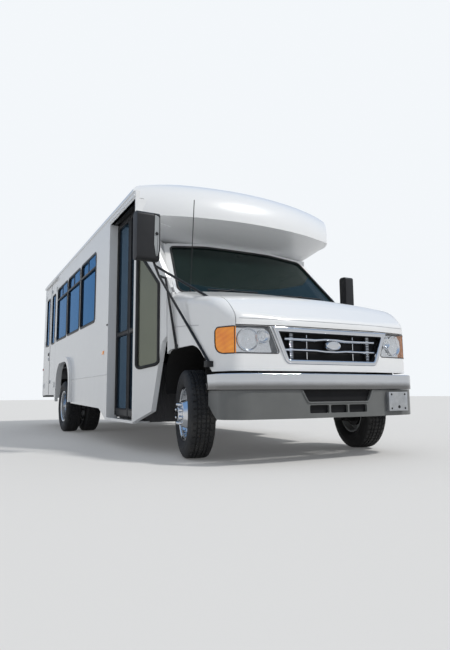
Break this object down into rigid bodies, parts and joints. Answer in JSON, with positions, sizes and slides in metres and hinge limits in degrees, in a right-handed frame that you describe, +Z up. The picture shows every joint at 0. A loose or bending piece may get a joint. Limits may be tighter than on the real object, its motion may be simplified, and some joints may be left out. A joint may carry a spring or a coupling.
{
  "type": "cutaway van shuttle bus",
  "caption": "Shuttle bus on a cutaway van chassis, with steerable front wheels, twin rear wheels, opening hood, driver's door, entry doors and lift doors.",
  "frame": {"origin": "centre of the bounding box's bottom, on the ground under mid length", "axes": "+X to the vehicle's left, +Y to its rear, +Z up"},
  "size_m": [2.706, 7.11, 2.764],
  "materials": {
    "body_white": "gloss",
    "moulded_white": "gloss",
    "frame_black": "matt paint",
    "engine_grey": "matt",
    "tank_black": "matt",
    "exhaust_steel": "dull",
    "floor_grey": "matt",
    "window_glass": "tinted",
    "trim_black": "matt",
    "bright": "polished",
    "valance_grey": "matt",
    "plate_blank": "satin",
    "mirror_black": "satin",
    "lens_amber": "clear",
    "lens_red": "clear",
    "lamp_clear": "clear",
    "tyre_rubber": "matt",
    "rim_white": "satin",
    "seat_cloth": "woven",
    "dash_grey": "matt",
    "core_grey": "matt"
  },
  "bodies": {
    "chassis": {"chassis_frame": "frame_black", "engine": "engine_grey", "radiator": "core_grey", "front_axle": "frame_black", "rear_axle": "frame_black", "fuel_tank": "tank_black", "exhaust": "exhaust_steel", "floor": "floor_grey", "front_cap": "moulded_white", "roof": "moulded_white", "rear_cap": "moulded_white", "windows": "window_glass", "wheel_flares": "trim_black", "entry_corner": "body_white", "driver_corner": "body_white", "cab_frame": "body_white", "windshield": "window_glass", "grille": "bright", "front_bumper": "bright", "front_valance": "valance_grey", "plate_bracket": "plate_blank", "mirror_right": "mirror_black", "wipers": "trim_black", "antenna": "trim_black", "marker_lamps": "lens_amber", "tail_lamps": "lens_red", "rear_bumper": "trim_black", "dashboard": "dash_grey", "seats": "seat_cloth", "grille_panel": "body_white", "fenders": "body_white", "headlamps": "lamp_clear", "corner_lamps": "lens_amber", "side_wall_left": "body_white", "side_wall_right": "body_white"},
    "knuckle_left": {"knuckle_left": "frame_black"},
    "knuckle_right": {"knuckle_right": "frame_black"},
    "wheel_front_left": {"tyre_front_left": "tyre_rubber", "rim_front_left": "rim_white"},
    "wheel_front_right": {"tyre_front_right": "tyre_rubber", "rim_front_right": "rim_white"},
    "wheels_rear_left": {"tyres_rear_left": "tyre_rubber", "rims_rear_left": "rim_white"},
    "wheels_rear_right": {"tyres_rear_right": "tyre_rubber", "rims_rear_right": "rim_white"},
    "hood": {"hood": "body_white"},
    "driver_door": {"driver_door": "body_white", "driver_door_glass": "window_glass", "mirror_left": "mirror_black"},
    "entry_leaf_front": {"entry_door_front": "body_white", "entry_glass_front": "window_glass"},
    "entry_leaf_rear": {"entry_door_rear": "body_white", "entry_glass_rear": "window_glass"},
    "lift_leaf_front": {"lift_door_front": "body_white", "lift_glass_front": "window_glass"},
    "lift_leaf_rear": {"lift_door_rear": "body_white", "lift_glass_rear": "window_glass"}
  },
  "joints": [
    {"name": "steer_right", "type": "hinge", "parent": "chassis", "child": "knuckle_right", "pos_m": [-0.77, -2.735, 0.368], "axis": [0, 0, 1], "range_deg": [-22.5, 47.5]},
    {"name": "steer_left", "type": "hinge", "parent": "chassis", "child": "knuckle_left", "pos_m": [0.77, -2.735, 0.368], "axis": [0, 0, 1], "range_deg": [-22.5, 47.5]},
    {"name": "spin_front_left", "type": "hinge", "parent": "knuckle_left", "child": "wheel_front_left", "pos_m": [0.87935, -2.75924, 0.368], "axis": [0.9763, -0.2164, 0], "continuous": true},
    {"name": "spin_front_right", "type": "hinge", "parent": "knuckle_right", "child": "wheel_front_right", "pos_m": [-0.87935, -2.71076, 0.368], "axis": [0.9763, -0.2164, 0], "continuous": true},
    {"name": "spin_rear_left", "type": "hinge", "parent": "chassis", "child": "wheels_rear_left", "pos_m": [0.9875, 1.278, 0.368], "axis": [1, 0, 0], "continuous": true},
    {"name": "spin_rear_right", "type": "hinge", "parent": "chassis", "child": "wheels_rear_right", "pos_m": [-0.9875, 1.278, 0.368], "axis": [1, 0, 0], "continuous": true},
    {"name": "hood_hinge", "type": "hinge", "parent": "chassis", "child": "hood", "pos_m": [0, -2.52, 1.478], "axis": [-1, 0, 0], "range_deg": [0, 55]},
    {"name": "driver_door_hinge", "type": "hinge", "parent": "chassis", "child": "driver_door", "pos_m": [1.014, -2.266, 1], "axis": [0, 0, -1], "range_deg": [0, 68]},
    {"name": "entry_front_hinge", "type": "hinge", "parent": "chassis", "child": "entry_leaf_front", "pos_m": [-1.124, -2.049, 1.3], "axis": [0, 0, 1], "range_deg": [0, 90]},
    {"name": "entry_rear_hinge", "type": "hinge", "parent": "chassis", "child": "entry_leaf_rear", "pos_m": [-1.124, -1.153, 1.3], "axis": [0, 0, -1], "range_deg": [0, 90]},
    {"name": "lift_front_hinge", "type": "hinge", "parent": "chassis", "child": "lift_leaf_front", "pos_m": [-1.227, 2.148, 1.4], "axis": [0, 0, 1], "range_deg": [0, 110]},
    {"name": "lift_rear_hinge", "type": "hinge", "parent": "chassis", "child": "lift_leaf_rear", "pos_m": [-1.227, 3.222, 1.4], "axis": [0, 0, -1], "range_deg": [0, 110]}
  ],
  "couplings": [
    {"joint": "steer_left", "follows": "steer_right", "ratio": 1}
  ]
}
